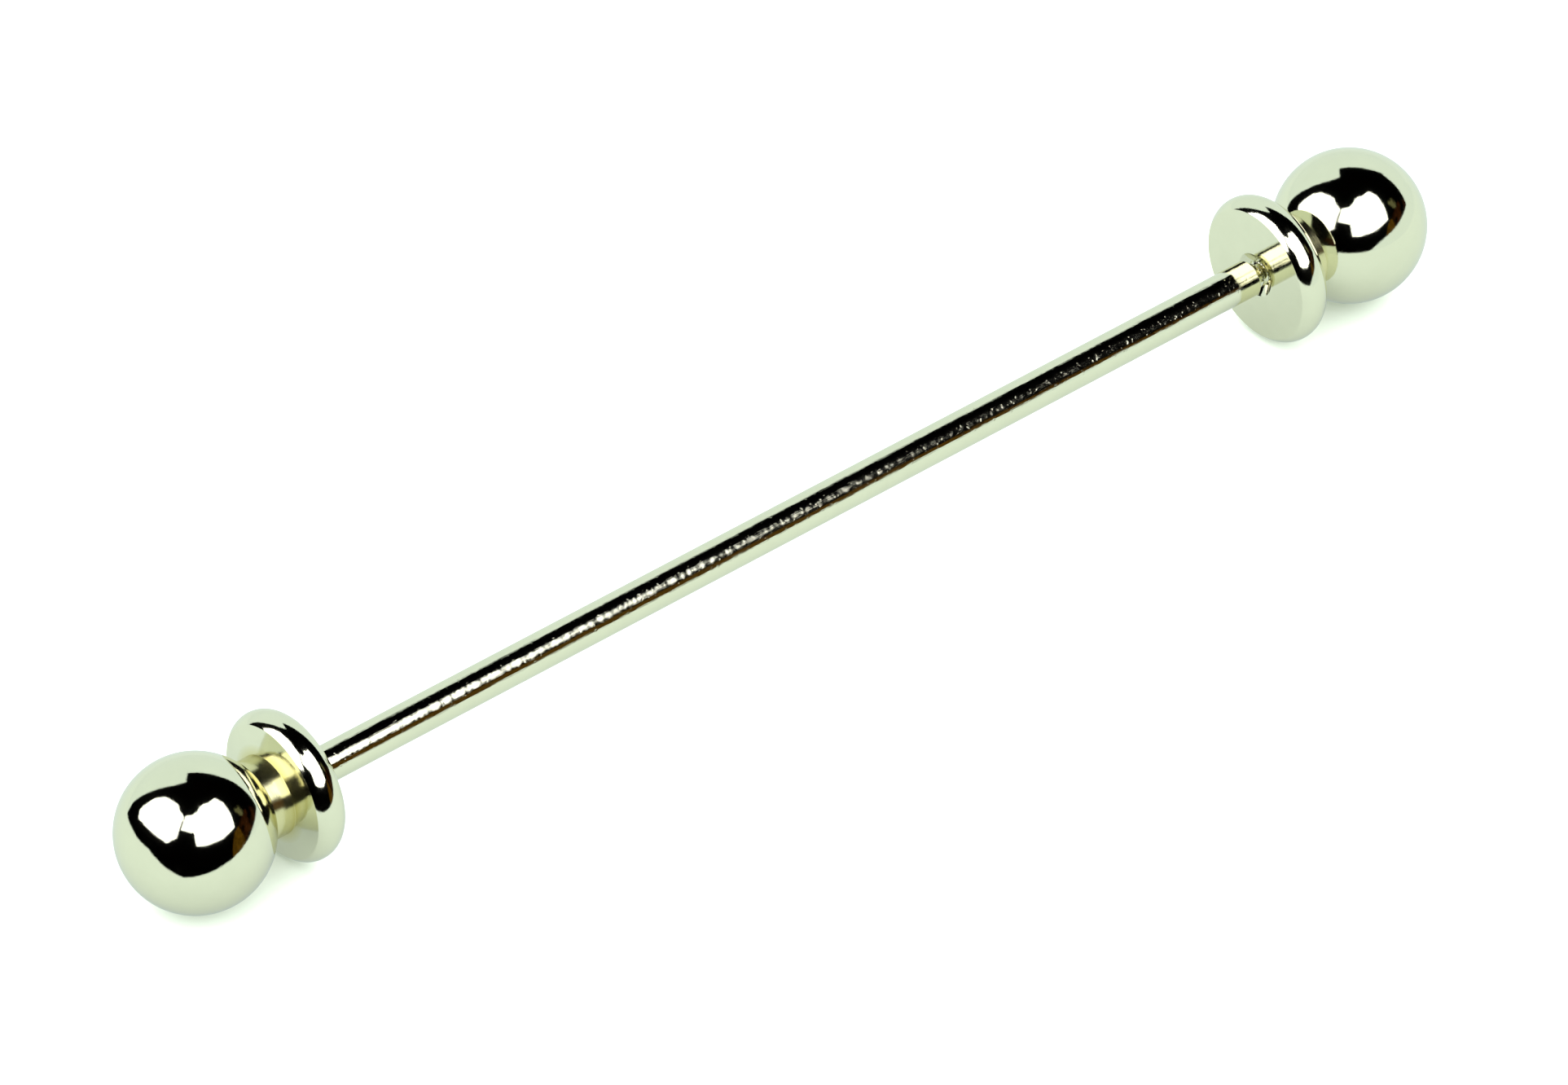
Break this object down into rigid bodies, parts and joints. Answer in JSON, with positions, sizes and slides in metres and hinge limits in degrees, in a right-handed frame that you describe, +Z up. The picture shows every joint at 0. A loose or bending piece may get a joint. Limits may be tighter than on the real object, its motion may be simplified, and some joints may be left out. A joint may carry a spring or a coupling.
{
  "type": "collar bar",
  "caption": "Straight slim rod with a ball on a flanged collar at each end; the screw end comes off a threaded stud. Holds the points of a shirt collar together.",
  "frame": {"origin": "centre of the whole object as it lies, on the rod's axis", "axes": "+X along the rod from the fixed end to the screw end, +Z up"},
  "size_m": [0.062, 0.006, 0.006],
  "materials": {
    "plated_rod": "nickel plate over brass, bright, with fine drawing lines and pits",
    "plated_turning": "nickel plate over brass, bright, with faint turning rings",
    "plated_ball": "nickel plate over brass, polished to a mirror"
  },
  "bodies": {
    "rod_and_fixed_end": {"bar": "plated_rod", "fixed_collar": "plated_turning", "fixed_ball": "plated_ball"},
    "screw_end_ball": {"screw_ball": "plated_ball"},
    "screw_end_collar": {"screw_collar": "plated_turning"}
  },
  "joints": [
    {"name": "screw_travel", "type": "slide", "parent": "rod_and_fixed_end", "child": "screw_end_ball", "axis": [1, 0, 0], "range_m": [-0.0005, 0.00175]},
    {"name": "unscrew", "type": "hinge", "parent": "screw_end_ball", "child": "screw_end_collar", "pos_m": [0.0232, 0, 0], "axis": [1, 0, 0], "range_deg": [-730, 2530]}
  ],
  "couplings": [
    {"joint": "unscrew", "follows": "screw_travel", "rad_per_m": 25133}
  ]
}
